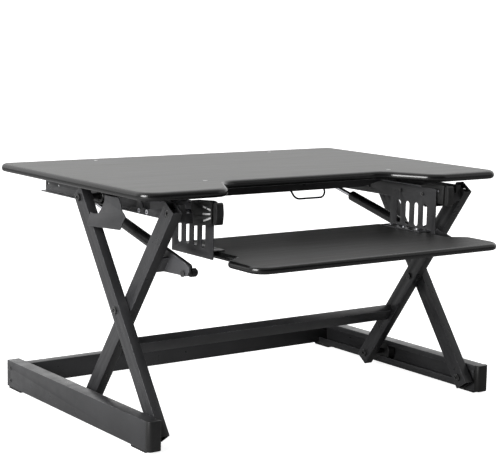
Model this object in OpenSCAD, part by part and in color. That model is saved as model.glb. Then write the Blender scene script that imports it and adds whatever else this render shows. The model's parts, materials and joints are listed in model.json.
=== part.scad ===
// Standing desk converter: a scissor lift with a worktop and a keyboard tray.
// Millimetres. X is to the user's right, Y to the rear, Z up.
// The origin is the centre of the footprint, on the surface that the feet rest on.
// The model is drawn raised. A leg plane (Y, Z) is drawn once and mirrored in X.

/* [Height] */
// Height of the worktop's upper face when raised
desk_height = 520; // [500:1:530]
// Distance between a leg's two end pivots
leg_span = 532; // [525:1:560]
// Height of the lower pivots and rollers above the surface
lower_pivot_z = 36; // [36:1:38]
// Distance from the worktop's upper face down to the upper pivots
upper_pivot_drop = 49; // [48:1:50]
// Y of the fixed pivots at the front
front_pivot_y = -276; // [-280:1:-270]

/* [Worktop] */
// Width of the worktop
desk_width = 952; // [940:2:970]
// Depth of the worktop
desk_depth = 630; // [620:2:640]
// Thickness of the worktop
desk_thickness = 18; // [16:1:18]
// Radius of the worktop's front corners, seen from above
desk_corner_radius = 36; // [20:1:60]
// Depth of the cutout in the front edge
cutout_depth = 111; // [60:1:115]
// Half width of the cutout, at the middle of its S-curves
cutout_half_width = 248; // [220:1:250]

/* [Keyboard tray] */
// Width of the tray at its front wings
tray_width = 650; // [600:2:652]
// Width of the tray between its hangers
tray_waist = 568; // [540:2:572]
// Y of the tray's front edge
tray_front_y = -480; // [-490:1:-460]
// Y of the tray's rear edge
tray_rear_y = -122; // [-140:1:-120]
// Thickness of the tray
tray_thickness = 15; // [12:1:16]
// Distance from the worktop's upper face down to the tray's upper face
tray_drop = 133; // [125:1:133]

/* [Base] */
// Length of a base rail
rail_length = 606; // [600:2:620]
// Steel thickness of the base rails
rail_wall = 3; // [2:0.5:3]

/* [Legs] */
// Depth of a leg tube, seen from the side
leg_depth = 35; // [30:1:36]
// Wall of the leg tubes
leg_wall = 2; // [1.5:0.5:2.5]
// Length of leg beyond its upper pivot
leg_top_overhang = 16; // [14:1:18]
// Length of leg beyond its lower pivot
leg_foot_overhang = 21; // [18:1:22]
// Diameter of the pivot bolts
bolt_diameter = 10; // [8:1:10]

/* [Gas springs] */
// X of the gas springs' centre lines
spring_x = 339; // [338:1:341]
// Diameter of the spring cylinders
cylinder_diameter = 24; // [20:1:24]
// Diameter of the spring rods
rod_diameter = 10; // [8:1:10]

/* [Release handles] */
// Width of the handle housings, along X
handle_width = 15; // [14:1:16]

/* [Hidden] */

// Fits
running_gap = 0.05;
face_gap = 0.5;
// X of the inner faces of the two pairs of legs, and the legs' width
inner_leg_x = 380;
outer_leg_x = 405;
leg_width = 22;
// Height that the scissor spans, its angle and the Y of its rear rollers when raised
rise = desk_height - upper_pivot_drop - lower_pivot_z;
leg_angle = asin(rise / leg_span);
rear_pivot_y = front_pivot_y + leg_span * cos(leg_angle);
upper_pivot_z = lower_pivot_z + rise;
bolt_r = bolt_diameter / 2;
bolt_head_r = 8;
bolt_head_t = 5;
socket_r = 4.6;
socket_depth = 3;
sleeve_r = bolt_r + 3;
// The upper front bolts' heads sit inside the legs, in a hole through the outer wall
bolt_seat_x = inner_leg_x + 10;
arc_steps = 10;

// Heights under the worktop
desk_rear_radius = 22;
desk_under_z = desk_height - desk_thickness;
strip_t = 4;
strip_under_z = desk_under_z - strip_t;
strip_width = 40;
front_strip_y = -150;
rear_strip_y = 230;
strip_half_length = 430;
strip_lip_t = 3;
strip_lip_z = desk_under_z - 19;

// Base rail
foot_height = 6;
rail_z = foot_height;
rail_height = 60;
rail_width = 30;
rail_inner_x = outer_leg_x + leg_width + 5;
rail_outer_x = rail_inner_x + rail_width;
rail_lip_t = 2;
rail_lips = [16, 12];
rail_front_y = -rail_length / 2;
rail_rear_y = rail_length / 2;
rail_roller_r = rail_height / 2 - rail_wall - 0.4;
rail_roller_w = 20;
foot_length = 56;
cap_length = 14;
cap_tongue = 5;
cap_lip = 1;
member_depth = 24;
member_height = 48;
member_wall = 2.5;
member_bottom_z = rail_z + rail_wall;
member_front_y = rail_rear_y - member_depth;
bracket_length = 58;
bracket_front_y = rail_front_y + 6;
bracket_x = rail_inner_x + rail_lip_t;
bottom_roller_x = rail_inner_x + rail_lip_t + 1.5;
bracket_wall = 3;
rail_screw_y = rail_rear_y - 14;
rail_screw_z = [rail_z + 14, rail_z + 42];

// Top frame
channel_wall = 2.5;
channel_width = 14;
channel_web_x = 365;
channel_height = 36;
channel_front_y = -287;
channel_rear_y = 294;
channel_tab = [18, 18];
channel_holes = [channel_rear_y - 60, channel_rear_y - 12];
channel_bottom_z = upper_pivot_z - channel_height / 2;
channel_top_z = channel_bottom_z + channel_height;
top_roller_r = channel_height / 2 - channel_wall - 0.3;
top_roller_x = channel_web_x + channel_wall + 1.5;
top_roller_w = 9;
gusset_t = 2.5;
gusset_x = channel_web_x + channel_width - gusset_t;
gusset_step_y = -178;
gusset_rear_y = -98;
gusset_rivet_y = [-165, -135];
gusset_rivet_z = upper_pivot_z - 11;
gusset_rivet_r = 3.5;
guard_x = 437;
guard_t = 2.5;

// Keyboard tray and its hangers
tray_top_z = desk_height - tray_drop;
tray_wing_y = -374;
hanger_x = 299;
hanger_t = 2.5;
hanger_front_y = -292;
hanger_rear_y = -140;
hanger_arm_y = 60;
hanger_top_z = desk_height - 36;
hanger_arm_z = desk_height - 67;
hanger_bottom_z = tray_top_z - tray_thickness + 1;
hanger_flange = 36;
slot_width = 14;
slot_pitch = 29.5;
slot_first_y = -257;
slot_low_z = tray_top_z + 6;
slot_high_z = tray_top_z + 60;
hanger_bolt_y = [-248, -174, -60];
hanger_bolt_z = desk_height - 51;
tray_screw_y = [-250, -205, -160];

// Drawer slides
slide_rail_x = 302.5;
slide_rail_w = 8;
slide_rail_wall = 1.5;
slide_rail_h = 34;
slide_rail_z = hanger_bolt_z - slide_rail_h / 2;
slide_rail_front_y = -238;
slide_rear_y = 170;
runner_t = 2;
runner_h = 22;
runner_front_y = -290;
runner_length = 285;
ball_r = 1.9;
ball_count = 5;
ball_pitch = 30;
cage_first_y = -180;
slide_bracket_y = [-120, 90];
slide_bracket_w = 44;
slide_bracket_t = 2.5;

// Gas springs: the lower pin sits on the inner legs, the upper pin under the worktop
spring_low = [-277, desk_height - 171];
spring_high = [180, desk_height - 58];
spring_length = norm(spring_high - spring_low);
spring_angle = atan2(spring_high[1] - spring_low[1], spring_high[0] - spring_low[0]);
eye_r = 9;
eye_w = 12;
pin_r = 4;
cylinder_start = 20;
cylinder_end = 334;
cylinder_wall = 1.5;
rod_start = 296;
arm_plate_x = 358;
arm_plate_t = 4;
arm_bridge = [[108, -17], [146, -17], [146, -12], [108, -12]];
valve_pivot = [spring_high[0] + 30, strip_under_z - 10];
valve_pin_r = 2;
spring_bracket_half = eye_w / 2 + 2;
spring_bracket_t = 2.5;
bracket_wall_x = spring_x - spring_bracket_half - spring_bracket_t;

// Release handles
handle_x = 304;
handle_front_y = -311;
handle_rear_y = -238;
lever_pivot = [-294, desk_height - 40];
lever_pin_r = 2.5;
lever_web_x = handle_x + 4;
lever_web_t = 7;
paddle_front_y = -328;
paddle_t = 10;
fan_apex = [-338, desk_height - 48];
fan_tilts = [9, -5.5, -19];
fan_reach = [31, 60];
adjuster_z = desk_height - 57;
adjuster_x = handle_x + handle_width - 2.5;
adjuster_end_y = handle_rear_y + 36;
cable_r = 2.2;
link_z = strip_under_z - cable_r - 0.5;
handle_cable_z = link_z - 2 * cable_r - 0.6;
link_x = 303;
link_y = -100;
dip_x = 17;
cable_dip = 41;
cable_bend = 12;
plug_places = [[250, -185], [250, 270]];
plug_r = 5;
plug_depth = 4;
frame_screw_x = [60, 230, 410];
cable_turn_y = rear_strip_y + strip_width / 2 + cable_bend;
link_end_y = rear_strip_y + strip_width / 2 - 6;
sleeve_length = 0.8;
sleeve_t = 0.1;

// Point in the leg plane at a distance along and across a leg from its start pivot
function along_leg(start, angle, along, across) =
    [start[0] + along * cos(angle) - across * sin(angle),
     start[1] + along * sin(angle) + across * cos(angle)];

// Arc that rounds the corner q of a path p, q, s with radius r
function corner_arc(p, q, s, r) =
    let (u = (p - q) / norm(p - q), v = (s - q) / norm(s - q), half = acos(u * v) / 2)
    let (c = q + (u + v) / norm(u + v) * r / sin(half))
    let (a = q + u * r / tan(half) - c, b = q + v * r / tan(half) - c)
    let (from = atan2(a[1], a[0]), turn = atan2(a[0] * b[1] - a[1] * b[0], a * b))
    [for (i = [0 : arc_steps]) let (t = from + turn * i / arc_steps) c + r * [cos(t), sin(t)]];

// Closed outline through corners given as [x, y, radius]
function outline(corners) =
    let (n = len(corners), p = [for (k = corners) [k[0], k[1]]])
    [for (i = [0 : n - 1]) each corner_arc(p[(i + n - 1) % n], p[i], p[(i + 1) % n], corners[i][2])];

// A half outline, front to rear on the right side, completed with its mirror image
function mirrored(half) =
    concat(half, [for (i = [len(half) - 1 : -1 : 0]) [-half[i][0], half[i][1], half[i][2]]]);

module on_side(side) {
    if (side < 0) mirror([1, 0, 0]) children();
    else children();
}

module on_both_sides() {
    children();
    mirror([1, 0, 0]) children();
}

// Box from x, y, z ranges
module box(x, y, z) {
    translate([x[0], y[0], z[0]]) cube([x[1] - x[0], y[1] - y[0], z[1] - z[0]]);
}

// Cylinder along X at a point of the leg plane
module rod_x(point, x, r) {
    translate([x[0], point[0], point[1]]) rotate([0, 90, 0]) cylinder(r = r, h = x[1] - x[0], $fn = 48);
}

// Plate drawn in the leg plane (Y, Z) and given a thickness along X
module side_plate(x, t) {
    translate([x, 0, 0]) rotate([90, 0, 90]) linear_extrude(t) children();
}

// Bolt along X: a shank over x, and a socket head over head whose open end is head[1]
module pivot_bolt(point, x, head, head_r) {
    out = sign(head[1] - head[0]);
    difference() {
        union() {
            rod_x(point, x, bolt_r);
            rod_x(point, [min(head), max(head)], head_r);
        }
        translate([head[1] - out * socket_depth, point[0], point[1]]) rotate([0, out * 90, 0])
            cylinder(r = socket_r, h = socket_depth + 1, $fn = 6);
    }
}

module screw_z(x, y, top_z, length, head_r) {
    translate([x, y, top_z]) cylinder(r = head_r, h = 2, $fn = 24);
    translate([x, y, top_z - length]) cylinder(r = 2, h = length, $fn = 24);
}

// ---- Base ----

// Channel with a lip along each flange; the lips stop short of the rear cross member
module base_rail(side) {
    inner_z = [rail_z + rail_wall, rail_z + rail_height - rail_wall];
    open_y = [rail_front_y - 1, rail_rear_y + 1];
    lip_x = [rail_inner_x - 1, rail_inner_x + rail_lip_t + 1];
    color("#2b2c30") on_side(side) difference() {
        box([rail_inner_x, rail_outer_x], [rail_front_y, rail_rear_y], [rail_z, rail_z + rail_height]);
        box([rail_inner_x + rail_lip_t, rail_outer_x - rail_wall], open_y, inner_z);
        box(lip_x, open_y, [rail_z + rail_lips[0], rail_z + rail_height - rail_lips[1]]);
        box(lip_x, [member_front_y - face_gap, open_y[1]], inner_z);
        for (z = rail_screw_z)
            rod_x([rail_screw_y, z], [rail_outer_x - rail_wall - 1, rail_outer_x + 1], 2);
    }
}

module rear_cross_member() {
    half = rail_outer_x - rail_wall;
    z = [member_bottom_z, member_bottom_z + member_height];
    color("#26272b") difference() {
        box([-half, half], [member_front_y, rail_rear_y], z);
        box([-half + member_wall, half - member_wall], [member_front_y + member_wall, rail_rear_y + 1],
            [z[0] + member_wall, z[1] - member_wall]);
        on_both_sides() for (h = rail_screw_z)
            rod_x([rail_screw_y, h], [half - member_wall - 1, half + 1], 2);
    }
}

module rail_end_caps() {
    half_w = rail_width / 2 + cap_lip;
    half_h = rail_height / 2 + cap_lip;
    middle = [rail_inner_x + rail_width / 2, rail_front_y, rail_z + rail_height / 2];
    color("#17171a") on_both_sides() translate(middle) {
        translate([0, 0, -half_h]) linear_extrude(2 * half_h)
            polygon(outline([[half_w, 0, 1], [-half_w, 0, 1],
                [-half_w, -cap_length, 8], [half_w, -cap_length, 8]]));
        box([-rail_width / 2 + rail_lip_t, rail_width / 2 - rail_wall], [0, cap_tongue],
            [-rail_height / 2 + rail_wall, rail_height / 2 - rail_wall]);
    }
}

module rubber_feet() {
    x = [rail_inner_x + 2, rail_outer_x - 2];
    color("#101012") on_both_sides() {
        box(x, [rail_front_y + 4, rail_front_y + 4 + foot_length], [0, foot_height]);
        box(x, [rail_rear_y - 4 - foot_length, rail_rear_y - 4], [0, foot_height]);
    }
}

module rail_pivot_brackets() {
    y = [bracket_front_y, bracket_front_y + bracket_length];
    z = [rail_z + rail_wall, rail_z + rail_height - rail_wall];
    color("#1d1e21") on_both_sides() difference() {
        box([bracket_x, rail_outer_x - rail_wall], y, z);
        box([bracket_x + bracket_wall, rail_outer_x], [y[0] + bracket_wall, y[1] - bracket_wall],
            [z[0] - 1, z[1] + 1]);
        rod_x([front_pivot_y, lower_pivot_z], [bracket_x - 1, bracket_x + bracket_wall + 1], bolt_r);
    }
}

module lower_pivot_bolts() {
    nut_x = bracket_x + bracket_wall;
    color("#b9babd") on_both_sides() {
        pivot_bolt([front_pivot_y, lower_pivot_z], [outer_leg_x - face_gap, nut_x + 8],
            [outer_leg_x - face_gap, outer_leg_x - face_gap - bolt_head_t], bolt_head_r);
        translate([nut_x, front_pivot_y, lower_pivot_z]) rotate([0, 90, 0])
            difference() {
                cylinder(r = bolt_head_r, h = 7, $fn = 6);
                translate([0, 0, -1]) cylinder(r = bolt_r - 1, h = 9, $fn = 48);
            }
    }
}

module rail_spacers() {
    color("#8d8e92") on_both_sides() difference() {
        rod_x([front_pivot_y, lower_pivot_z], [outer_leg_x + leg_width + face_gap, bracket_x], sleeve_r);
        rod_x([front_pivot_y, lower_pivot_z], [outer_leg_x + leg_width, bracket_x + 1], bolt_r);
    }
}

module rail_screws() {
    color("#b9babd") on_both_sides() for (z = rail_screw_z) {
        rod_x([rail_screw_y, z], [rail_outer_x - 10, rail_outer_x], 2);
        rod_x([rail_screw_y, z], [rail_outer_x, rail_outer_x + 1.5], 4);
    }
}

// ---- Scissor legs ----

// Open tube with a sleeve at each end pivot and at its middle.
// over gives its length beyond the start and the end, bores the bore radius at the start, middle and end.
module leg_tube(start, angle, x, over, bores) {
    stations = [0, leg_span / 2, leg_span];
    translate([x, start[0], start[1]]) rotate([angle, 0, 0]) difference() {
        union() {
            difference() {
                box([0, leg_width], [-over[0], leg_span + over[1]], [-leg_depth / 2, leg_depth / 2]);
                box([leg_wall, leg_width - leg_wall], [-over[0] - 1, leg_span + over[1] + 1],
                    [leg_wall - leg_depth / 2, leg_depth / 2 - leg_wall]);
            }
            for (s = stations) rod_x([s, 0], [leg_wall / 2, leg_width - leg_wall / 2], sleeve_r);
        }
        for (i = [0 : 2]) rod_x([stations[i], 0], [-1, leg_width + 1], bores[i]);
    }
}

module outer_leg(side) {
    color("#2f3034") on_side(side)
        leg_tube([front_pivot_y, lower_pivot_z], leg_angle, outer_leg_x,
            [leg_foot_overhang, leg_top_overhang],
            [bolt_r + running_gap, bolt_r, bolt_r]);
}

module inner_leg(side) {
    color("#2f3034") on_side(side) difference() {
        leg_tube([front_pivot_y, upper_pivot_z], -leg_angle, inner_leg_x,
            [leg_top_overhang, leg_foot_overhang],
            [bolt_r + running_gap, bolt_r + running_gap, bolt_r]);
        rod_x([front_pivot_y, upper_pivot_z], [bolt_seat_x, inner_leg_x + leg_width + 1], bolt_head_r);
    }
}

module upper_roller_axles() {
    point = [rear_pivot_y, upper_pivot_z];
    roller_end = top_roller_x + top_roller_w;
    leg_face = [1, 1] * (outer_leg_x + leg_width);
    color("#a8a9ad") on_both_sides() {
        pivot_bolt(point, [top_roller_x - 0.4, outer_leg_x + leg_width],
            leg_face + [0, bolt_head_t], bolt_head_r);
        rod_x(point, [top_roller_x - 0.9, top_roller_x - 0.2], bolt_r + 2);
        rod_x(point, [roller_end + 0.3, outer_leg_x], bolt_r + 2);
    }
}

module cross_pivot_bolts() {
    point = [(front_pivot_y + rear_pivot_y) / 2, (lower_pivot_z + upper_pivot_z) / 2];
    color("#a8a9ad") on_both_sides() {
        pivot_bolt(point, [inner_leg_x - 4, outer_leg_x + leg_width],
            [1, 1] * (outer_leg_x + leg_width) + [0, 4],
            bolt_head_r);
        rod_x(point, [inner_leg_x - 4, inner_leg_x - face_gap], bolt_head_r - 1);
    }
}

module cross_washers() {
    point = [(front_pivot_y + rear_pivot_y) / 2, (lower_pivot_z + upper_pivot_z) / 2];
    color("#8d8e92") on_both_sides() difference() {
        rod_x(point, [inner_leg_x + leg_width, outer_leg_x - 0.2], sleeve_r + 4);
        rod_x(point, [inner_leg_x, outer_leg_x + 1], bolt_r + running_gap);
    }
}

module lower_roller_axles() {
    point = [rear_pivot_y, lower_pivot_z];
    roller_x = bottom_roller_x;
    color("#a8a9ad") on_both_sides() {
        pivot_bolt(point, [inner_leg_x, roller_x + rail_roller_w + 0.4],
            [inner_leg_x, inner_leg_x - bolt_head_t],
            bolt_head_r);
        rod_x(point, [inner_leg_x + leg_width, roller_x - 0.3], bolt_r + 2);
        rod_x(point, [roller_x + rail_roller_w + 0.2, roller_x + rail_roller_w + 1], bolt_r + 2);
    }
}

// Roller with a tyre groove and a bore, turned about X
module roller(point, x, w, r) {
    translate([x, point[0], point[1]]) rotate([0, 90, 0]) rotate_extrude($fn = 72)
        polygon([[bolt_r + running_gap, 0], [r - 1, 0], [r, 1], [r, w - 1], [r - 1, w],
            [r * 0.72, w], [r * 0.68, w - 1.5], [bolt_r + 3.5, w - 1.5], [bolt_r + 3, w],
            [bolt_r + running_gap, w]]);
}

module upper_roller(side) {
    color("#1b1b1e") on_side(side)
        roller([rear_pivot_y, upper_pivot_z], top_roller_x, top_roller_w, top_roller_r);
}

module lower_roller(side) {
    color("#1b1b1e") on_side(side)
        roller([rear_pivot_y, lower_pivot_z], bottom_roller_x, rail_roller_w, rail_roller_r);
}

module leg_crossbar() {
    bar_along = 32;
    bar_across = 20;
    bar_wall = 2;
    from_top = 387;
    centre = along_leg([front_pivot_y, upper_pivot_z], -leg_angle, from_top, 0);
    color("#303135") translate([0, centre[0], centre[1]]) rotate([-leg_angle, 0, 0]) difference() {
        box([-inner_leg_x, inner_leg_x], [-bar_along / 2, bar_along / 2],
            [-bar_across / 2, bar_across / 2]);
        box([-inner_leg_x - 1, inner_leg_x + 1], [bar_wall - bar_along / 2, bar_along / 2 - bar_wall],
            [bar_wall - bar_across / 2, bar_across / 2 - bar_wall]);
    }
}

// Plate that carries the gas spring's lower pin, bridged to the inner leg along the leg's lower edge
module spring_arm(side) {
    start = [front_pivot_y, upper_pivot_z];
    bridge = [for (c = arm_bridge) along_leg(start, -leg_angle, c[0], c[1])];
    plate = [[-182, -179, 4], [-182, -140, 6], [-204, -129, 6], [-279, -148, 30],
        [-302, -157, 9], [-291, -175, 9],
        [-265, -176, 12]];
    color("#34353a") on_side(side) difference() {
        union() {
            side_plate(arm_plate_x, arm_plate_t)
                polygon(outline([for (c = plate) [c[0], desk_height + c[1], c[2]]]));
            side_plate(arm_plate_x, inner_leg_x - arm_plate_x) polygon(bridge);
        }
        rod_x(spring_low, [arm_plate_x - 1, arm_plate_x + arm_plate_t + 1], pin_r);
    }
}

module spring_arm_pins() {
    inner_end = spring_x - eye_w / 2 - 1;
    color("#b9babd") on_both_sides() {
        rod_x(spring_low, [inner_end, arm_plate_x + arm_plate_t], pin_r);
        rod_x(spring_low, [arm_plate_x + arm_plate_t, arm_plate_x + arm_plate_t + 3], pin_r + 3);
        rod_x(spring_low, [inner_end - 2, inner_end], pin_r + 2.5);
        difference() {
            rod_x(spring_low, [spring_x + eye_w / 2 + 1, arm_plate_x], pin_r + 2.5);
            rod_x(spring_low, [spring_x, arm_plate_x + 1], pin_r - 1);
        }
    }
}

// ---- Gas springs ----

// Children are drawn along +Y from the spring's lower pin
module on_spring_axis() {
    translate([spring_x, spring_low[0], spring_low[1]]) rotate([spring_angle, 0, 0]) children();
}

module bar_y(y, r) {
    translate([0, y[0], 0]) rotate([-90, 0, 0]) cylinder(r = r, h = y[1] - y[0], $fn = 48);
}

module gas_cylinder(side) {
    bore = cylinder_diameter / 2 - cylinder_wall;
    color("#141416") on_side(side) on_spring_axis() difference() {
        union() {
            bar_y([cylinder_start, cylinder_end], cylinder_diameter / 2);
            bar_y([eye_r - 2, cylinder_start], 5);
            rod_x([0, 0], [-eye_w / 2, eye_w / 2], eye_r);
        }
        bar_y([cylinder_start + 4, cylinder_end - 8], bore);
        bar_y([cylinder_end - 9, cylinder_end + 1], rod_diameter / 2 + running_gap);
        rod_x([0, 0], [-eye_w, eye_w], pin_r + running_gap);
    }
}

module gas_rod(side) {
    color("#c9cacd") on_side(side) on_spring_axis() {
        bar_y([rod_start, spring_length - eye_r + 2], rod_diameter / 2);
        bar_y([rod_start, rod_start + 14], cylinder_diameter / 2 - cylinder_wall - running_gap);
        rod_x([spring_length, 0], [-eye_w / 2, eye_w / 2], eye_r);
        rod_x([spring_length, 0], [-eye_w / 2 - 4, eye_w / 2 + 4], pin_r);
    }
}

// ---- Worktop and its frame ----

function worktop_half() =
    let (front = -desk_depth / 2, slope = 31.5, w = desk_width / 2)
    [[cutout_half_width - slope, front + cutout_depth, 50], [cutout_half_width + slope, front, 50],
     [w, front, desk_corner_radius], [w, -front, desk_rear_radius]];

module worktop() {
    color("#8f908c") difference() {
        translate([0, 0, desk_under_z])
            linear_extrude(desk_thickness) polygon(outline(mirrored(worktop_half())));
        on_both_sides() for (p = plug_places)
            translate([p[0], p[1], desk_height - plug_depth])
                cylinder(r = plug_r, h = plug_depth + 1, $fn = 32);
        on_both_sides() for (x = frame_screw_x, y = [front_strip_y, rear_strip_y])
            translate([x, y, desk_under_z - 1]) cylinder(r = 2, h = 11, $fn = 24);
    }
}

module worktop_plugs() {
    color("#b5b6b2") on_both_sides() for (p = plug_places)
        translate([p[0], p[1], desk_height - plug_depth])
            cylinder(r = plug_r, h = plug_depth + 0.4, $fn = 32);
}

module side_channel(side) {
    x = [channel_web_x, channel_web_x + channel_width];
    color("#2b2c30") on_side(side) {
        difference() {
            box(x, [channel_front_y, channel_rear_y], [channel_bottom_z, channel_top_z]);
            box([x[0] + channel_wall, x[1] + 1], [channel_front_y - 1, channel_rear_y + 1],
                [channel_bottom_z + channel_wall, channel_top_z - channel_wall]);
            rod_x([front_pivot_y, upper_pivot_z], [x[0] - 1, x[0] + channel_wall + 1], bolt_r);
            for (y = channel_holes) rod_x([y, upper_pivot_z], [x[0] - 1, x[0] + channel_wall + 1], 3);
        }
        box([x[0], gusset_x - 0.5], [channel_front_y, channel_front_y + channel_wall],
            [channel_bottom_z, channel_top_z]);
        box([x[0] - channel_tab[0], x[0] + 1], [channel_front_y, channel_front_y + channel_wall],
            [channel_bottom_z - 3, channel_bottom_z + channel_tab[1]]);
        difference() {
            rod_x([front_pivot_y, upper_pivot_z], [x[0] + channel_wall, gusset_x], sleeve_r + 1);
            rod_x([front_pivot_y, upper_pivot_z], [x[0], gusset_x + 1], bolt_r);
        }
        for (y = [front_strip_y, rear_strip_y])
            box(x, [y - strip_width / 2, y + strip_width / 2], [channel_top_z, strip_under_z]);
    }
}

module pivot_gussets() {
    boss = [-137, upper_pivot_z - 3];
    boss_r = 12;
    color("#323338") on_both_sides() difference() {
        union() {
            side_plate(gusset_x, gusset_t) polygon(outline([
                [channel_front_y, channel_bottom_z + channel_wall, 2],
                [gusset_rear_y, channel_bottom_z + channel_wall, 2],
                [gusset_rear_y, upper_pivot_z - 8, 3], [gusset_step_y, upper_pivot_z - 4, 1],
                [gusset_step_y, channel_top_z - channel_wall, 2],
                [channel_front_y, channel_top_z - channel_wall, 2]]));
            rod_x(boss, [gusset_x, gusset_x + gusset_t], boss_r);
        }
        for (y = gusset_rivet_y)
            rod_x([y, gusset_rivet_z], [gusset_x - 1, gusset_x + gusset_t + 1], gusset_rivet_r);
        rod_x([front_pivot_y, upper_pivot_z], [gusset_x - 1, gusset_x + gusset_t + 1], bolt_r);
    }
}

module cross_strip(y) {
    color("#26272b") difference() {
        box([-strip_half_length, strip_half_length], [y - strip_width / 2, y + strip_width / 2],
            [strip_under_z, desk_under_z]);
        on_both_sides() for (x = frame_screw_x)
            translate([x, y, strip_under_z - 1]) cylinder(r = 2, h = strip_t + 2, $fn = 24);
    }
}

// The front strip has a lip turned down along the middle of its front edge
module front_cross_strip() {
    half = [190, 262];
    lip = outline([[-half[1], strip_under_z + 1, 0.5], [-half[0], strip_lip_z, 6],
        [half[0], strip_lip_z, 6], [half[1], strip_under_z + 1, 0.5]]);
    cross_strip(front_strip_y);
    color("#26272b") translate([0, front_strip_y - strip_width / 2 + strip_lip_t, 0]) rotate([90, 0, 0])
        linear_extrude(strip_lip_t) polygon(lip);
}

// Screws that hold the cross strips to the worktop, and the tubular rivets of the pivot gussets
module frame_fasteners() {
    head = 0.6;
    x = [gusset_x, gusset_x + gusset_t];
    color("#b9babd") on_both_sides() {
        for (x = frame_screw_x, y = [front_strip_y, rear_strip_y])
            mirror([0, 0, 1]) screw_z(x, y, -strip_under_z, strip_t + 10, 4);
        for (y = gusset_rivet_y) difference() {
            union() {
                rod_x([y, gusset_rivet_z], [x[0] - head, x[1] + head], gusset_rivet_r - running_gap);
                rod_x([y, gusset_rivet_z], [x[1], x[1] + head], gusset_rivet_r + 1.3);
                rod_x([y, gusset_rivet_z], [x[0] - head, x[0]], gusset_rivet_r + 0.8);
            }
            rod_x([y, gusset_rivet_z], [x[0] - 1, x[1] + 1], gusset_rivet_r - 1);
        }
    }
}

module upper_pivot_bolts() {
    head_x = bolt_seat_x + 0.3;
    head_end_x = inner_leg_x + leg_width - 1;
    color("#b9babd") on_both_sides() {
        pivot_bolt([front_pivot_y, upper_pivot_z], [channel_web_x - 6, head_x],
            [head_x, head_end_x], bolt_head_r - 0.7);
        translate([channel_web_x - 6, front_pivot_y, upper_pivot_z]) rotate([0, 90, 0])
            cylinder(r = bolt_head_r, h = 6, $fn = 6);
    }
}

// Clevis that the gas rod's end runs in; its slots leave room for the rod's end pin
module spring_top_brackets() {
    half = spring_bracket_half;
    t = spring_bracket_t;
    y = [spring_high[0] - 20, rear_strip_y + strip_width / 2];
    slot_y = 9;
    slot_z = 11.5;
    color("#26272b") on_both_sides() difference() {
        box([spring_x - half - t, spring_x + half + t], y, [spring_high[1] - 16, strip_under_z]);
        box([spring_x - half, spring_x + half], [y[0] - 1, y[1] + 1],
            [spring_high[1] - 17, strip_under_z - t]);
        box([spring_x - half - t - 1, spring_x + half + t + 1],
            [spring_high[0] - slot_y, spring_high[0] + slot_y],
            [spring_high[1] - slot_z, spring_high[1] + slot_z]);
        rod_x(valve_pivot, [spring_x - half - t - 1, spring_x + half + t + 1], valve_pin_r);
    }
}

// Guard outboard of the left outer leg, hung from a strap across the side channel
module side_guard() {
    strap_y = [front_strip_y + strip_width / 2 + 2, -100];
    shape = [[-159, -94, 2], [-22, -102, 4], [-40, -71, 3], [-52, -73, 5], [-72, -71, 9], [-89, -54, 8],
        [-98, -40, 3], [-98, -29, 1], [-154, -29, 3], [-163, -42, 4], [-167, -54, 4], [-181, -64, 4]];
    color("#35363b") mirror([1, 0, 0]) {
        side_plate(guard_x, guard_t) polygon(outline([for (c = shape) [c[0], desk_height + c[1], c[2]]]));
        box([channel_web_x, guard_x + guard_t], strap_y, [desk_height - 31, desk_height - 29]);
    }
}

// ---- Drawer slides ----

module slide_rail(side) {
    x = [slide_rail_x, slide_rail_x + slide_rail_w];
    z = [slide_rail_z, slide_rail_z + slide_rail_h];
    color("#6e6f73") on_side(side) difference() {
        box(x, [slide_rail_front_y, slide_rear_y], z);
        box([x[0] - 1, x[1] - slide_rail_wall], [slide_rail_front_y - 1, slide_rear_y + 1],
            [z[0] + slide_rail_wall, z[1] - slide_rail_wall]);
    }
}

module slide_brackets() {
    x = slide_rail_x + slide_rail_w;
    color("#26272b") on_both_sides() for (y = slide_bracket_y) {
        box([x, x + slide_bracket_t], [y, y + slide_bracket_w], [slide_rail_z + 3, desk_under_z]);
        box([x + slide_bracket_t, x + 22], [y, y + slide_bracket_w],
            [desk_under_z - slide_bracket_t, desk_under_z]);
    }
}

module slide_runners() {
    x = hanger_x + hanger_t;
    color("#9a9b9f") on_both_sides() difference() {
        box([x, x + runner_t], [runner_front_y, runner_front_y + runner_length],
            [hanger_bolt_z - runner_h / 2, hanger_bolt_z + runner_h / 2]);
        for (y = hanger_bolt_y) rod_x([y, hanger_bolt_z], [x - 1, x + runner_t + 1], 2);
    }
}

// Balls seated in the holes of a thin folded cage, two rows to each slide
module slide_ball_cages() {
    row = runner_h / 2 + ball_r + 0.15;
    ball_x = slide_rail_x + 1.5;
    x = [ball_x - ball_r - 0.4, slide_rail_x + slide_rail_w - slide_rail_wall - 0.5];
    sheet = 0.8;
    y = [cage_first_y - 8, cage_first_y + (ball_count - 1) * ball_pitch + 8];
    color("#c9cacd") on_both_sides() {
        difference() {
            union() {
                for (z = [-row, row])
                    box(x, y, [hanger_bolt_z + z - sheet / 2, hanger_bolt_z + z + sheet / 2]);
                box([x[1] - sheet, x[1]], y, [hanger_bolt_z - row, hanger_bolt_z + row]);
            }
            for (i = [0 : ball_count - 1])
                translate([ball_x, cage_first_y + i * ball_pitch, hanger_bolt_z - row - 1])
                    cylinder(r = ball_r + 0.1, h = 2 * row + 2, $fn = 24);
        }
        for (i = [0 : ball_count - 1], z = [-row, row])
            translate([ball_x, cage_first_y + i * ball_pitch, hanger_bolt_z + z]) sphere(r = ball_r, $fn = 24);
    }
}

// ---- Keyboard tray ----

function tray_half() =
    [[tray_width / 2, tray_front_y, 34], [tray_width / 2, tray_wing_y, 22],
     [tray_waist / 2, tray_wing_y + 24, 16], [tray_waist / 2, tray_rear_y, 8]];

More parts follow.
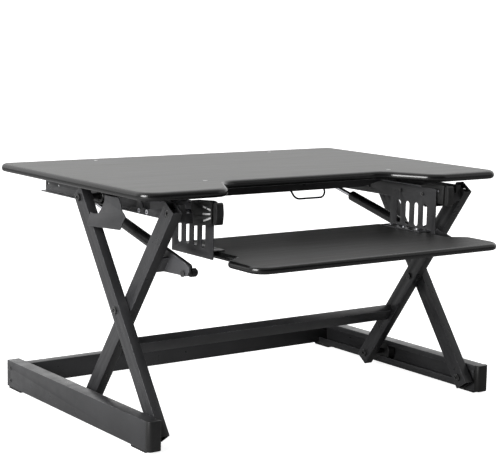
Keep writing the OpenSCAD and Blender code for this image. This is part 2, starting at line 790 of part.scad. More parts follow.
module keyboard_tray() {
    half = tray_half();
    color("#3c3d3d") difference() {
        translate([0, 0, tray_top_z - tray_thickness])
            linear_extrude(tray_thickness) polygon(outline(mirrored(half)));
        on_both_sides() for (y = tray_screw_y)
            translate([hanger_x - 14, y, tray_top_z - 9]) cylinder(r = 2, h = 10, $fn = 24);
    }
}

module tray_hanger(side) {
    color("#303136") on_side(side) difference() {
        union() {
            side_plate(hanger_x, hanger_t) polygon(outline([
                [hanger_front_y, hanger_bottom_z, 2], [hanger_rear_y, hanger_bottom_z, 2],
                [hanger_rear_y, hanger_arm_z, 3], [hanger_arm_y, hanger_arm_z, 4],
                [hanger_arm_y, hanger_top_z, 4], [hanger_front_y, hanger_top_z, 3]]));
            box([hanger_x - hanger_flange, hanger_x + 1], [hanger_front_y + 12, hanger_rear_y - 6],
                [tray_top_z, tray_top_z + 2.5]);
        }
        for (i = [0 : 3]) translate([hanger_x - 1, slot_first_y + i * slot_pitch, 0]) {
            box([0, hanger_t + 2], [-slot_width / 2, slot_width / 2],
                [slot_low_z + slot_width / 2, slot_high_z - slot_width / 2]);
            for (z = [slot_low_z + slot_width / 2, slot_high_z - slot_width / 2])
                rod_x([0, z], [0, hanger_t + 2], slot_width / 2);
        }
        for (y = hanger_bolt_y) rod_x([y, hanger_bolt_z], [hanger_x - 1, hanger_x + hanger_t + 1], 2);
        for (y = tray_screw_y)
            translate([hanger_x - 14, y, tray_top_z - 1]) cylinder(r = 2, h = 5, $fn = 24);
    }
}

module hanger_bolts() {
    color("#b9babd") on_both_sides() for (y = hanger_bolt_y) {
        rod_x([y, hanger_bolt_z], [hanger_x - 2.5, hanger_x], 4);
        rod_x([y, hanger_bolt_z], [hanger_x, hanger_x + hanger_t + runner_t], 2);
    }
}

module tray_screws() {
    color("#d0d0d2") on_both_sides() for (y = tray_screw_y)
        screw_z(hanger_x - 14, y, tray_top_z + 2.5, 11.5, 4.5);
}

// ---- Release handles ----

module handle_outline() {
    polygon(outline([[handle_front_y, desk_height - 72, 6], [handle_rear_y, desk_height - 83, 4],
        [handle_rear_y, desk_height - 30, 5], [handle_front_y + 10, desk_height - 25, 9],
        [handle_front_y, desk_height - 27, 3]]));
}

// Housing with a fan of shallow grooves on its outer face. Its lower part is only an outer skirt.
module handle_housing(side) {
    outer_x = handle_x + handle_width;
    groove = [1.8, 1.8];
    color("#1a1a1d") on_side(side) {
        difference() {
            side_plate(handle_x, handle_width) handle_outline();
            box([lever_web_x - 0.3, lever_web_x + lever_web_t + 0.3],
                [handle_front_y - 1, lever_pivot[0] + 9],
                [desk_height - 90, desk_height - 20]);
            box([handle_x - 1, handle_x + 9], [handle_front_y - 1, handle_rear_y + 1],
                [desk_height - 90, desk_height - 68]);
            rod_x(lever_pivot, [handle_x - 1, outer_x + 1], lever_pin_r);
            for (tilt = fan_tilts) translate([outer_x, fan_apex[0], fan_apex[1]]) rotate([tilt, 0, 0])
                box([-groove[0], 1], fan_reach, [-groove[1], groove[1]]);
        }
        box([slide_rail_x + slide_rail_w, outer_x], [handle_rear_y, handle_rear_y + 14],
            [slide_rail_z, slide_rail_z + 6]);
    }
}

module lever_pins() {
    color("#b9babd") on_both_sides() {
        rod_x(lever_pivot, [handle_x, handle_x + handle_width], lever_pin_r);
        rod_x(valve_pivot, [spring_x - 12, spring_x + 12], valve_pin_r);
    }
}

module release_lever(side) {
    web = [[lever_pivot[0] + 6, lever_pivot[1] - 6, 4], [lever_pivot[0] + 6, lever_pivot[1] + 6, 5],
        [lever_pivot[0] - 12, lever_pivot[1] + 7, 4], [paddle_front_y + 6, desk_height - 38, 2],
        [paddle_front_y + 6, desk_height - 60, 2], [paddle_front_y + paddle_t + 3, desk_height - 58, 2]];
    paddle = [[paddle_front_y + 1, -26, 5], [paddle_front_y - 2, -49, 40], [paddle_front_y + 1, -72, 5],
        [paddle_front_y + paddle_t, -71, 3], [paddle_front_y + paddle_t, -27, 3]];
    color("#202024") on_side(side) difference() {
        union() {
            side_plate(lever_web_x, lever_web_t) polygon(outline(web));
            side_plate(handle_x - 2.5, handle_width + 2.5)
                polygon(outline([for (c = paddle) [c[0], desk_height + c[1], c[2]]]));
        }
        rod_x(lever_pivot, [handle_x - 1, handle_x + handle_width + 1], lever_pin_r + running_gap);
    }
}

module cable_adjusters() {
    color("#c9cacd") on_both_sides() translate([adjuster_x, handle_rear_y, adjuster_z]) {
        bar_y([0, 22], 4);
        bar_y([22, 36], 2.8);
    }
}

// Round cable that starts at the origin along +Y. A run is [length] for a straight, or [radius, turn, roll]
// for a bend towards -X after a roll about the cable. A thin sleeve covers each place where two runs meet.
module cable(runs, i = 0) {
    if (i < len(runs)) {
        run = runs[i];
        if (i > 0) bar_y([-sleeve_length / 2, sleeve_length / 2], cable_r + sleeve_t);
        if (len(run) == 1) {
            bar_y([0, run[0]], cable_r);
            translate([0, run[0], 0]) cable(runs, i + 1);
        } else rotate([0, run[2], 0]) translate([-run[0], 0, 0]) {
            rotate_extrude(angle = run[1], $fn = 48) translate([run[0], 0]) circle(r = cable_r, $fn = 16);
            rotate([0, 0, run[1]]) translate([run[0], 0, 0]) cable(runs, i + 1);
        }
    }
}

// From a handle, up and back to the valve at the spring's upper end
module handle_cable() {
    climb = 28;
    climb_bend = 40;
    climb_length = (handle_cable_z - adjuster_z - 2 * climb_bend * (1 - cos(climb))) / sin(climb);
    climb_end_y = adjuster_end_y + 2 * climb_bend * sin(climb) + climb_length * cos(climb);
    turn_r = (spring_x - adjuster_x) / 2;
    translate([adjuster_x, adjuster_end_y, adjuster_z])
        cable([[climb_bend, climb, 90], [climb_length], [climb_bend, climb, 180],
            [cable_turn_y - climb_end_y], [turn_r, 180, -90], [cable_turn_y - valve_pivot[0] - 12]]);
}

// From the left spring to the right one, round the front, with a dip on the right
function sum2(pair) = pair[0] + pair[1];

module link_cable() {
    slope = 55;
    curl = 130;
    drop_bends = [12, 24];
    curl_bends = [12, 8];
    flat = 58;
    drop = (cable_dip - sum2(drop_bends) * (1 - cos(slope))) / sin(slope);
    rise = (cable_dip - sum2(curl_bends) * (1 - cos(curl))) / sin(curl);
    dip_width = sum2(drop_bends) * sin(slope) + drop * cos(slope) + flat
        + sum2(curl_bends) * sin(curl) + rise * cos(curl);
    side_run = link_end_y - 2 * cable_bend - link_y;
    end_run = bracket_wall_x - link_x - cable_bend;
    front_run = 2 * (link_x - cable_bend);
    translate([-bracket_wall_x, link_end_y, link_z]) rotate([0, 0, -90])
        cable([[end_run], [cable_bend, 90, 180], [side_run], [cable_bend, 90, 180],
            [front_run / 2 + dip_x], [drop_bends[0], slope, -90], [drop], [drop_bends[1], slope, 180], [flat],
            [curl_bends[0], curl, 0], [rise], [curl_bends[1], curl, 180], [front_run / 2 - dip_x - dip_width],
            [cable_bend, 90, 90], [side_run], [cable_bend, 90, 180], [end_run]]);
}

module release_cables() {
    color("#0e0e10") {
        on_both_sides() handle_cable();
        link_cable();
    }
}

module cable_clip() {
    x = dip_x + 121;
    color("#e4e4e4") difference() {
        box([x - 5, x + 5], [link_y - 8, link_y + 8], [link_z - 22, desk_under_z]);
        box([x - 6, x + 6], [link_y - cable_r, link_y + cable_r], [link_z - 23, link_z + cable_r]);
    }
}

// Small lever behind the rod's end that works the spring's valve
module valve_lever(side) {
    half_w = 3;
    tip_z = -28;
    shape = [[-5, 5, 3], [6, 5, 3], [4, tip_z, 2], [-2, tip_z, 2]];
    color("#2c2c30") on_side(side) difference() {
        side_plate(spring_x - half_w, 2 * half_w)
            polygon(outline([for (c = shape) [valve_pivot[0] + c[0], valve_pivot[1] + c[1], c[2]]]));
        rod_x(valve_pivot, [spring_x - half_w - 1, spring_x + half_w + 1], valve_pin_r + running_gap);
    }
}

base_rail(-1);  // left_base_rail
base_rail(1);  // right_base_rail
rear_cross_member();
rail_end_caps();
rubber_feet();
rail_pivot_brackets();
lower_pivot_bolts();
rail_spacers();
rail_screws();
outer_leg(-1);  // left_outer_leg
outer_leg(1);  // right_outer_leg
upper_roller_axles();
cross_pivot_bolts();
upper_roller(-1);  // left_upper_roller
upper_roller(1);  // right_upper_roller
inner_leg(-1);  // left_inner_leg
inner_leg(1);  // right_inner_leg
leg_crossbar();
cross_washers();
lower_roller_axles();
spring_arm(-1);  // left_spring_arm
spring_arm(1);  // right_spring_arm
spring_arm_pins();
lower_roller(-1);  // left_lower_roller
lower_roller(1);  // right_lower_roller
gas_cylinder(-1);  // left_gas_cylinder
gas_cylinder(1);  // right_gas_cylinder
gas_rod(-1);  // left_gas_rod
gas_rod(1);  // right_gas_rod
worktop();
side_channel(-1);  // left_side_channel
side_channel(1);  // right_side_channel
pivot_gussets();
front_cross_strip();
cross_strip(rear_strip_y);  // rear_cross_strip
upper_pivot_bolts();
spring_top_brackets();
side_guard();
frame_fasteners();
slide_rail(-1);  // left_slide_rail
slide_rail(1);  // right_slide_rail
slide_brackets();
worktop_plugs();
handle_housing(-1);  // left_handle_housing
handle_housing(1);  // right_handle_housing
lever_pins();
cable_adjusters();
release_cables();
cable_clip();
release_lever(-1);  // left_release_lever
release_lever(1);  // right_release_lever
valve_lever(-1);  // left_valve_lever
valve_lever(1);  // right_valve_lever
keyboard_tray();
tray_hanger(-1);  // left_tray_hanger
tray_hanger(1);  // right_tray_hanger
slide_runners();
hanger_bolts();
tray_screws();
slide_ball_cages();
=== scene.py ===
"""Looks of a standing desk converter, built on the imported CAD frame. Metres, +X right, +Y rear, +Z up."""

import json
import math

import bmesh
import bpy
from mathutils import Matrix, Vector


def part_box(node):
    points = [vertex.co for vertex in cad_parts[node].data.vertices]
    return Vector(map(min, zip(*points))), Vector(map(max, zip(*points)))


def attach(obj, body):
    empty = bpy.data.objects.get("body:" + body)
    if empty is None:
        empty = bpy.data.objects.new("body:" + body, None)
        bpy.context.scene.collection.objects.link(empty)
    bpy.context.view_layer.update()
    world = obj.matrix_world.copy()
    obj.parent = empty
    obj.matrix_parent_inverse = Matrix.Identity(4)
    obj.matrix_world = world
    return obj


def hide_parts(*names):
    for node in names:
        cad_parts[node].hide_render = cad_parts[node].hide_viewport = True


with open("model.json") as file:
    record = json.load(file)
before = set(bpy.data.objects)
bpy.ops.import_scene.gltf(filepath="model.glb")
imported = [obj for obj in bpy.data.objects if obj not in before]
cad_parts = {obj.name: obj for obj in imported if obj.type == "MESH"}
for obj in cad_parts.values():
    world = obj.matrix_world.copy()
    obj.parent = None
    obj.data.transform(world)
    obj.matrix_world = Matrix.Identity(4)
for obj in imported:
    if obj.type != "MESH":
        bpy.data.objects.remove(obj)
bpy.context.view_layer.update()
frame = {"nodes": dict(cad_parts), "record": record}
nodes = frame["nodes"]
body_of_node = {n: b for b, members in frame["record"]["behaviour"]["bodies"].items() for n in members}


# ---- Materials ----


class Nodes:
    """A node tree, and short helpers that add nodes to it."""

    def __init__(self, tree):
        self.tree = tree

    def node(self, kind, links=(), **values):
        n = self.tree.nodes.new(kind)
        for key, value in values.items():
            setattr(n, key, value)
        for socket, source in dict(links).items():
            if hasattr(source, "is_output"):
                self.tree.links.new(source, n.inputs[socket])
            else:
                n.inputs[socket].default_value = source
        return n

    def position(self, stretch=(1, 1, 1)):
        coords = self.node("ShaderNodeTexCoord").outputs["Object"]
        return self.node("ShaderNodeMapping", {"Vector": coords, "Scale": stretch}).outputs["Vector"]

    def noise(self, scale, detail=4.0, stretch=(1, 1, 1), roughness=0.5):
        links = {"Vector": self.position(stretch), "Scale": scale, "Detail": detail, "Roughness": roughness}
        return self.node("ShaderNodeTexNoise", links).outputs["Fac"]

    def remap(self, value, low, high, to_low, to_high):
        links = {"Value": value, "From Min": low, "From Max": high, "To Min": to_low, "To Max": to_high}
        return self.node("ShaderNodeMapRange", links).outputs["Result"]

    def maths(self, operation, a, b):
        return self.node("ShaderNodeMath", {0: a, 1: b}, operation=operation).outputs[0]

    def dot(self, a, b):
        return self.node("ShaderNodeVectorMath", {0: a, 1: b}, operation="DOT_PRODUCT").outputs["Value"]

    def z_part(self, vector):
        return self.node("ShaderNodeSeparateXYZ", {0: vector}).outputs["Z"]

    def camera_ray(self):
        """1 where the camera sees a surface directly, 0 in reflections and bounced light."""
        return self.node("ShaderNodeLightPath").outputs["Is Camera Ray"]

    def mix(self, factor, a, b):
        n = self.node("ShaderNodeMix", data_type="RGBA")
        colours = [s for s in n.inputs if s.type == "RGBA"]
        for socket, source in ((n.inputs["Factor"], factor), (colours[0], a), (colours[1], b)):
            if hasattr(source, "is_output"):
                self.tree.links.new(source, socket)
            else:
                socket.default_value = source
        return next(s for s in n.outputs if s.type == "RGBA")


class Shader(Nodes):
    """A node material with a Principled shader."""

    def __init__(self, name, roughness, metallic=0.0, specular=0.5):
        self.material = bpy.data.materials.new(name)
        self.material.use_nodes = True
        super().__init__(self.material.node_tree)
        self.bsdf = next(n for n in self.tree.nodes if n.type == "BSDF_PRINCIPLED")
        self.bsdf.inputs["Roughness"].default_value = roughness
        self.bsdf.inputs["Metallic"].default_value = metallic
        self.bsdf.inputs["Specular IOR Level"].default_value = specular

    def rubbed_and_lit_edges(self, radius):
        """1 along edges and 0 elsewhere, in patches: a mask for rubbed wear and for painted edge highlights."""
        bevel = self.node("ShaderNodeBevel", {"Radius": radius}, samples=4).outputs["Normal"]
        normal = self.node("ShaderNodeNewGeometry").outputs["Normal"]
        edge = self.remap(self.dot(bevel, normal), 0.995, 0.86, 0.0, 1.0)
        return self.maths("MULTIPLY", edge, self.remap(self.noise(120.0), 0.42, 0.62, 0.25, 1.0))

    def colour(self, source):
        self.tree.links.new(source, self.bsdf.inputs["Base Color"])

    def roughness(self, source):
        self.tree.links.new(source, self.bsdf.inputs["Roughness"])

    def bump(self, height, strength, distance):
        links = {"Height": height, "Strength": strength, "Distance": distance}
        self.tree.links.new(self.node("ShaderNodeBump", links).outputs["Normal"], self.bsdf.inputs["Normal"])


def grey(value, tint=(1.0, 1.0, 1.0)):
    return (value * tint[0], value * tint[1], value * tint[2], 1.0)


# Tints that multiply a grey
COOL = (0.98, 0.985, 1.04)
WARM = (1.0, 1.0, 0.90)


def powder_coat(name, value, roughness):
    """Baked paint on steel: a fine pebbled skin, slightly cloudy, lighter along edges with painted highlights
    together with rubbed wear.
    """
    s = Shader(name, roughness)
    cloudiness = s.remap(s.noise(9.0), 0.35, 0.65, 0.0, 1.0)
    cloud = s.mix(cloudiness, grey(value * 0.86, COOL), grey(value * 1.16, COOL))
    speck = s.mix(s.remap(s.noise(900.0, 2.0), 0.55, 0.75, 0.0, 0.35), cloud, grey(value * 2.2, COOL))
    # Edges up to seven times as light as the paint: painted edge highlights together with rubbed wear.
    s.colour(s.mix(s.maths("MULTIPLY", s.rubbed_and_lit_edges(0.0016), 0.75), speck, grey(value * 7.0, COOL)))
    s.roughness(s.remap(s.noise(35.0), 0.3, 0.7, roughness - 0.07, roughness + 0.09))
    s.bump(s.noise(1500.0, 3.0), 0.22, 0.00025)
    return s.material


def laminate(name, face, edge, face_roughness, edge_roughness):
    """Board with a fine-grained printed face and smooth painted edges. The grain runs along X."""
    s = Shader(name, face_roughness, specular=0.55)
    grain = s.noise(1.0, 8.0, (6.0, 260.0, 260.0), 0.62)
    fibre = s.noise(1.0, 3.0, (40.0, 1400.0, 1400.0), 0.7)
    streak = s.noise(1.0, 5.0, (1.6, 34.0, 34.0), 0.55)
    tone = s.mix(s.remap(grain, 0.38, 0.64, 0.0, 1.0), grey(face * 0.78), grey(face * 1.22, WARM))
    tone = s.mix(s.remap(streak, 0.4, 0.66, 0.0, 0.45), tone, grey(face * 0.66))
    tone = s.mix(s.remap(fibre, 0.56, 0.72, 0.0, 0.5), tone, grey(face * 0.5))
    normal = s.node("ShaderNodeNewGeometry").outputs["True Normal"]
    on_face = s.remap(s.z_part(normal), 0.93, 0.985, 0.0, 1.0)
    # The rim's edges are lighter: painted edge highlights together with rubbed wear.
    rim = s.mix(s.maths("MULTIPLY", s.rubbed_and_lit_edges(0.0015), 0.25), grey(edge), grey(edge * 3.0))
    s.colour(s.mix(on_face, rim, tone))
    face_r = s.remap(grain, 0.3, 0.7, face_roughness - 0.05, face_roughness + 0.07)
    rougher = s.maths("MULTIPLY", on_face, s.maths("SUBTRACT", face_r, edge_roughness))
    s.roughness(s.maths("ADD", rougher, edge_roughness))
    height = s.maths("ADD", s.maths("MULTIPLY", grain, 0.6), s.maths("MULTIPLY", fibre, 0.4))
    s.bump(s.maths("MULTIPLY", height, on_face), 0.25, 0.0003)
    return s.material


def plated_steel(name, value, roughness, brushing=(20.0, 700.0, 700.0)):
    """Zinc-plated or brushed steel with drawn lines, smears and brighter edges: painted edge highlights
    together with rubbed wear.
    """
    s = Shader(name, roughness, metallic=1.0)
    lines = s.noise(1.0, 4.0, brushing, 0.6)
    smear = s.noise(45.0, 3.0)
    tone = s.mix(s.remap(lines, 0.35, 0.65, 0.0, 1.0), grey(value * 0.82, COOL), grey(value * 1.1, COOL))
    tone = s.mix(s.remap(smear, 0.5, 0.75, 0.0, 0.4), tone, grey(value * 0.62))
    # Brighter edges: painted highlights together with rubbed wear.
    s.colour(s.mix(s.maths("MULTIPLY", s.rubbed_and_lit_edges(0.0008), 0.5), tone, grey(min(1.0, value * 1.45))))
    s.roughness(s.remap(smear, 0.3, 0.7, roughness - 0.06, roughness + 0.12))
    s.bump(lines, 0.12, 0.0001)
    return s.material


def moulded(name, value, roughness, texture=700.0, depth=0.3, specular=0.5, rim=2.6):
    """Moulded plastic, rubber or blackened steel with a fine grain. Edges are rim times as light: painted
    highlights together with rubbed wear.
    """
    s = Shader(name, roughness, specular=specular)
    tone = s.mix(s.remap(s.noise(22.0), 0.35, 0.65, 0.0, 1.0), grey(value * 0.85), grey(value * 1.2))
    # Edges rim times as light: painted highlights together with rubbed wear.
    s.colour(s.mix(s.maths("MULTIPLY", s.rubbed_and_lit_edges(0.001), 0.35), tone, grey(min(1.0, value * rim))))
    s.roughness(s.remap(s.noise(60.0), 0.3, 0.7, roughness - 0.06, roughness + 0.08))
    cells = s.node("ShaderNodeTexVoronoi", {"Vector": s.position(), "Scale": texture}, feature="SMOOTH_F1")
    s.bump(cells.outputs["Distance"], depth, 0.0002)
    return s.material


MATERIALS = {
    "frame": powder_coat("powder_coat_frame", 0.026, 0.34),
    "legs": powder_coat("powder_coat_legs", 0.028, 0.32),
    "worktop": laminate("laminate_worktop", 0.068, 0.005, 0.42, 0.22),
    "tray": laminate("laminate_tray", 0.010, 0.004, 0.50, 0.22),
    "black_plastic": moulded("moulded_black", 0.010, 0.36),
    "roller_plastic": moulded("roller_nylon", 0.022, 0.32, 1100.0, 0.15),
    "rubber": moulded("black_rubber", 0.014, 0.72, 900.0, 0.45, 0.3),
    # Black oxide steel with edges 45 times as light: painted glints on the bolt heads.
    "bolt_black": moulded("black_oxide_steel", 0.02, 0.30, 1500.0, 0.08, 0.6, 45.0),
    "bolt_steel": plated_steel("zinc_plated_steel", 0.70, 0.34, (60.0, 60.0, 900.0)),
    "slide_steel": plated_steel("rolled_slide_steel", 0.42, 0.34, (900.0, 14.0, 900.0)),
    "spring_black": powder_coat("gloss_black_paint", 0.010, 0.30),
    "rod_chrome": plated_steel("polished_rod", 0.72, 0.14, (900.0, 30.0, 900.0)),
    "plug_plastic": moulded("pale_plastic", 0.42, 0.45, 900.0, 0.15),
}
# A paler copy of the frame's powder coat: painted light on the crossbar and spring arms.
painted_light_coat = powder_coat("powder_coat_painted_light", 0.052, 0.36)
black_oxide = MATERIALS["bolt_black"]
# Nodes that look different from the material their slot stands for
OWN_LOOK = {
    "leg_crossbar": painted_light_coat,
    "left_spring_arm": painted_light_coat,
    "right_spring_arm": painted_light_coat,
    # Rivets in near-white metal: a painted glint.
    "frame_fasteners": plated_steel("rivet_metal_painted_glint", 0.95, 0.5, (60.0, 60.0, 900.0)),
    "spring_arm_pins": black_oxide,
    "lower_roller_axles": black_oxide,
    "rail_screws": black_oxide,
    "upper_pivot_bolts": black_oxide,
}
slot_of_node = {s["node"]: s["material_slot"] for s in frame["record"]["subparts"]}


def dress(obj, material):
    obj.data.materials.clear()
    obj.data.materials.append(material)
    for face in obj.data.polygons:
        face.material_index = 0


def look_of(node):
    return OWN_LOOK.get(node, MATERIALS[slot_of_node[node]])


# ---- Shapes ----

SAME_POINT, SAME_HEIGHT = 2e-6, 1e-5
# Angles between neighbouring faces: still flat, shown as a crease, rounded over, the rim of a board
FLAT, CREASE, SHARP, RIM = (math.radians(a) for a in (0.4, 32.0, 50.0, 60.0))
BULLNOSE_STEPS = 7


def clean_copy(node):
    """A CAD node's mesh with its split vertices joined and its flat faces whole."""
    bm = bmesh.new()
    bm.from_mesh(nodes[node].data)
    bmesh.ops.remove_doubles(bm, verts=bm.verts, dist=SAME_POINT)
    bmesh.ops.dissolve_limit(bm, angle_limit=FLAT, verts=bm.verts, edges=bm.edges, delimit=set())
    return bm


def sharp_edges(bm, angle):
    return [e for e in bm.edges if len(e.link_faces) == 2 and e.calc_face_angle(0.0) > angle]


def edge_loops(edges):
    """Groups edges that touch each other."""
    by_vertex, groups, seen = {}, [], set()
    for e in edges:
        for v in e.verts:
            by_vertex.setdefault(v, []).append(e)
    for first in edges:
        if first in seen:
            continue
        group, todo = [], [first]
        seen.add(first)
        while todo:
            e = todo.pop()
            group.append(e)
            for v in e.verts:
                for other in by_vertex[v]:
                    if other not in seen:
                        seen.add(other)
                        todo.append(other)
        groups.append(group)
    return groups


def span(edges):
    xs = [v.co.x for e in edges for v in e.verts]
    return max(xs) - min(xs)


def finish_piece(bm, node):
    """Turns a mesh that stands for a CAD node into a shown piece with smooth rounds and crisp corners."""
    name = node + "_shape"
    for face in bm.faces:
        face.smooth = True
    for e in bm.edges:
        e.smooth = len(e.link_faces) == 2 and e.calc_face_angle(0.0) < CREASE
    mesh = bpy.data.meshes.new(name)
    bm.to_mesh(mesh)
    bm.free()
    obj = bpy.data.objects.new(name, mesh)
    bpy.context.scene.collection.objects.link(obj)
    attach(obj, body_of_node[node])
    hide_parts(node)
    dress(obj, look_of(node))
    return obj


def soften(node, radius, steps):
    """Rounds the sharp edges of a CAD node by radius."""
    bm = clean_copy(node)
    bmesh.ops.bevel(bm, geom=sharp_edges(bm, SHARP), offset=radius, segments=steps, profile=0.5, affect="EDGES",
                    clamp_overlap=True, loop_slide=True)
    finish_piece(bm, node)


def board_outline(node):
    """The corners of a board seen from above, in order, read from the long sharp edge round its upper face."""
    bm = clean_copy(node)
    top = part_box(node)[1].z
    edges = [e for e in sharp_edges(bm, RIM) if all(v.co.z > top - SAME_HEIGHT for v in e.verts)]
    loop = max(edge_loops(edges), key=span)
    links = {}
    for e in loop:
        a, b = e.verts
        links.setdefault(a, []).append(b)
        links.setdefault(b, []).append(a)
    start = loop[0].verts[0]
    path, last, here = [start], None, start
    while True:
        step = next(v for v in links[here] if v is not last)
        if step is start:
            break
        path.append(step)
        last, here = here, step
    points = [v.co.to_2d() for v in path]
    bm.free()
    area = sum(a.x * b.y - b.x * a.y for a, b in zip(points, points[1:] + points[:1]))
    return points if area > 0 else points[::-1]


def inset(points, distance):
    """Moves a closed outline inwards along its corner normals."""
    moved = []
    for i, here in enumerate(points):
        a, b = points[i - 1], points[(i + 1) % len(points)]
        d1, d2 = (here - a).normalized(), (b - here).normalized()
        normal = Vector((-d1.y - d2.y, d1.x + d2.x)).normalized()
        reach = max(0.5, math.sqrt(max(0.0, (1 + d1.dot(d2)) / 2)))
        moved.append(here + normal * distance / reach)
    return moved


def bullnose_board(node, upper, lower):
    """Board with its rim turned to two rounds: upper and lower are (inset, height) of each round."""
    points = board_outline(node)
    low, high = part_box(node)
    turns = [math.pi / 2 * k / BULLNOSE_STEPS for k in range(BULLNOSE_STEPS + 1)]
    profile = [(upper[0] * (1 - math.sin(t)), high.z - upper[1] * (1 - math.cos(t))) for t in turns]
    profile += [(lower[0] * (1 - math.cos(t)), low.z + lower[1] * (1 - math.sin(t))) for t in turns]
    bm = bmesh.new()
    rings = [[bm.verts.new((p.x, p.y, z)) for p in inset(points, d)] for d, z in profile]
    for a, b in zip(rings, rings[1:]):
        for i in range(len(a)):
            k = (i + 1) % len(a)
            bm.faces.new((a[i], b[i], b[k], a[k]))
    bm.faces.new(rings[0])
    bm.faces.new(list(reversed(rings[-1])))
    bmesh.ops.recalc_face_normals(bm, faces=bm.faces)
    obj = finish_piece(bm, node)
    for face in obj.data.polygons:
        face.use_smooth = len(face.vertices) == 4


for name, obj in nodes.items():
    dress(obj, look_of(name))

bullnose_board("worktop", (0.010, 0.009), (0.007, 0.007))
bullnose_board("keyboard_tray", (0.008, 0.0075), (0.006, 0.006))

# Edge rounds as (radius in metres, steps across the round)
PAIRED_EDGES = {
    "base_rail": (0.0012, 3), "outer_leg": (0.0014, 3), "inner_leg": (0.0014, 3), "side_channel": (0.0007, 2),
    "spring_arm": (0.0006, 2), "tray_hanger": (0.0005, 2), "handle_housing": (0.0012, 2),
    "release_lever": (0.0016, 3), "slide_rail": (0.0004, 2),
}
SINGLE_EDGES = {
    "rear_cross_member": (0.0008, 2), "leg_crossbar": (0.0009, 2), "rail_end_caps": (0.0016, 3),
    "rubber_feet": (0.0014, 2), "rail_pivot_brackets": (0.0007, 2), "pivot_gussets": (0.0005, 2),
    "side_guard": (0.0005, 2), "front_cross_strip": (0.0006, 2), "rear_cross_strip": (0.0006, 2),
    "slide_brackets": (0.0005, 2), "spring_top_brackets": (0.0005, 2),
}
for side in ("left", "right"):
    for name, (radius, steps) in PAIRED_EDGES.items():
        soften(side + "_" + name, radius, steps)
for name, (radius, steps) in SINGLE_EDGES.items():
    soften(name, radius, steps)


# Pale strips let into the grooves on the outer faces of the handle housings. They fan out from a point
# (y, z) by the tilts in degrees, and reach from and to the given distances from it.
FAN_FROM, FAN_REACH = (-0.338, 0.472), (0.0314, 0.0596)
FAN_TILTS = (9.0, -5.5, -19.0)
STRIP_HALF_HEIGHT, STRIP_DEPTHS, STRIP_ROUND = 0.0016, (0.0019, 0.0005), 0.0003


def handle_strip(side, tilt, number):
    """One strip, from the deeper to the shallower of the two depths below the housing's outer face."""
    node = side + "_handle_housing"
    low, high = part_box(node)
    face = high.x if side == "right" else low.x
    inwards = -1 if side == "right" else 1
    depth = STRIP_DEPTHS[0] - STRIP_DEPTHS[1]
    turn = Matrix.Translation((face, *FAN_FROM)) @ Matrix.Rotation(math.radians(tilt), 4, "X")
    middle = Matrix.Translation((inwards * sum(STRIP_DEPTHS) / 2, sum(FAN_REACH) / 2, 0.0))
    size = Matrix.Diagonal((depth, FAN_REACH[1] - FAN_REACH[0], 2 * STRIP_HALF_HEIGHT, 1.0))
    bm = bmesh.new()
    bmesh.ops.create_cube(bm, size=1.0, matrix=turn @ middle @ size)
    bmesh.ops.bevel(bm, geom=bm.edges[:], offset=STRIP_ROUND, segments=2, affect="EDGES")
    mesh = bpy.data.meshes.new(side + "_handle_strip_%d" % number)
    bm.to_mesh(mesh)
    bm.free()
    obj = bpy.data.objects.new(mesh.name, mesh)
    bpy.context.scene.collection.objects.link(obj)
    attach(obj, body_of_node[node])
    dress(obj, MATERIALS["plug_plastic"])


for side in ("left", "right"):
    for number, tilt in enumerate(FAN_TILTS, 1):
        handle_strip(side, tilt, number)


# ---- Stage ----

# How far the floor is lifted towards white for the camera, and its grey in bounced light: right and left
FLOOR_LIFT, FLOOR_BOUNCE = 0.85, (0.30, 0.45)
LEFTWARDS = (-0.75, 0.66, 0.0)
FLOOR_REACH = 30
# Light from the room behind the camera, from the backdrop and from the ceiling
ROOM, BACKDROP, CEILING = 0.04, 1.1, 0.40
BACKDROP_TURN = 0.3
CAMERA_WHITE = 1.1

# Floor
corners = [(x * FLOOR_REACH, y * FLOOR_REACH, 0) for x, y in ((-1, -1), (1, -1), (1, 1), (-1, 1))]
floor_mesh = bpy.data.meshes.new("floor")
floor_mesh.from_pydata(corners, [], [(0, 1, 2, 3)])
floor = bpy.data.objects.new("floor", floor_mesh)
bpy.context.scene.collection.objects.link(floor)
paint = Shader("pale_floor", 0.85, specular=0.1)
seen = paint.camera_ray()
pale = paint.mix(paint.noise(3.0), grey(0.80), grey(0.83))
leftness = paint.remap(paint.dot(paint.position(), LEFTWARDS), -0.1, 0.7, 0.0, 1.0)
bounced = paint.mix(leftness, grey(FLOOR_BOUNCE[0]), grey(FLOOR_BOUNCE[1]))
paint.colour(paint.mix(seen, bounced, pale))
paint.bsdf.inputs["Emission Color"].default_value = grey(1.0)
paint.tree.links.new(paint.maths("MULTIPLY", seen, FLOOR_LIFT), paint.bsdf.inputs["Emission Strength"])
floor.data.materials.append(paint.material)

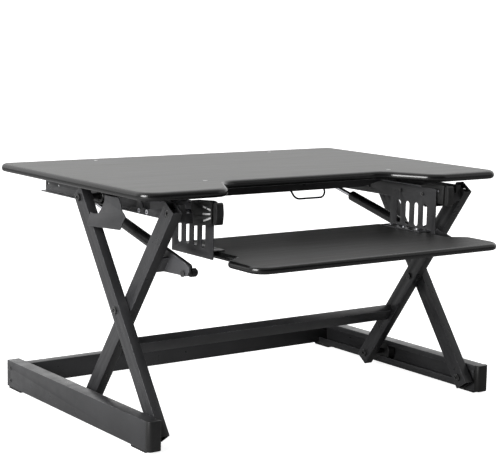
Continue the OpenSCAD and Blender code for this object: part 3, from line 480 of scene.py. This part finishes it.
# Surroundings
world = bpy.data.worlds.new("studio")
world.use_nodes = True
sky = Nodes(world.node_tree)
direction = sky.node("ShaderNodeTexCoord").outputs["Generated"]
towards_backdrop = sky.dot(direction, (math.sin(BACKDROP_TURN), math.cos(BACKDROP_TURN), 0.0))
room = sky.remap(towards_backdrop, -0.15, 0.55, ROOM, BACKDROP)
ceiling = sky.remap(sky.z_part(direction), 0.45, 0.85, 0.0, CEILING)
seen = sky.camera_ray()
lit = sky.maths("MULTIPLY", sky.maths("ADD", room, ceiling), sky.maths("SUBTRACT", 1.0, seen))
strength = sky.maths("ADD", lit, sky.maths("MULTIPLY", seen, CAMERA_WHITE))
background = next(n for n in world.node_tree.nodes if n.type == "BACKGROUND")
background.inputs["Color"].default_value = grey(1.0)
world.node_tree.links.new(strength, background.inputs["Strength"])
bpy.context.scene.world = world
bpy.context.scene.view_settings.view_transform = "Standard"


LIT_POINT = Vector((0.0, 0.0, 0.25))


def area_light(name, place, size, watts):
    data = bpy.data.lights.new(name, "AREA")
    data.shape, data.size, data.energy = "SQUARE", size, watts
    lamp = bpy.data.objects.new(name, data)
    lamp.location = place
    lamp.rotation_euler = (LIT_POINT - Vector(place)).to_track_quat("-Z", "Y").to_euler()
    bpy.context.scene.collection.objects.link(lamp)


area_light("key", (-3.2, -0.8, 1.5), 1.8, 165.0)
area_light("fill", (2.8, -2.2, 1.6), 2.0, 7.0)

CAMERA_PLACE = (-1.93805, -2.68975, 0.86587)
CAMERA_AZIMUTH, CAMERA_ELEVATION, CAMERA_ROLL = (math.radians(a) for a in (-35.77, 8.33, 1.14))
CAMERA_LENS, CAMERA_SENSOR, CAMERA_REACH = 105.64, 36.0, 100.0

level = math.cos(CAMERA_ELEVATION)
back = Vector((math.sin(CAMERA_AZIMUTH) * level, -math.cos(CAMERA_AZIMUTH) * level, math.sin(CAMERA_ELEVATION)))
flat_right = Vector((0, 0, 1)).cross(back).normalized()
flat_up = back.cross(flat_right)
right = math.cos(CAMERA_ROLL) * flat_right + math.sin(CAMERA_ROLL) * flat_up
up = -math.sin(CAMERA_ROLL) * flat_right + math.cos(CAMERA_ROLL) * flat_up
camera_data = bpy.data.cameras.new("camera")
camera_data.sensor_width, camera_data.lens, camera_data.clip_end = CAMERA_SENSOR, CAMERA_LENS, CAMERA_REACH
camera = bpy.data.objects.new("camera", camera_data)
turned = Matrix((right, up, back)).transposed().to_4x4()
camera.matrix_world = Matrix.Translation(CAMERA_PLACE) @ turned
bpy.context.scene.collection.objects.link(camera)
bpy.context.scene.camera = camera
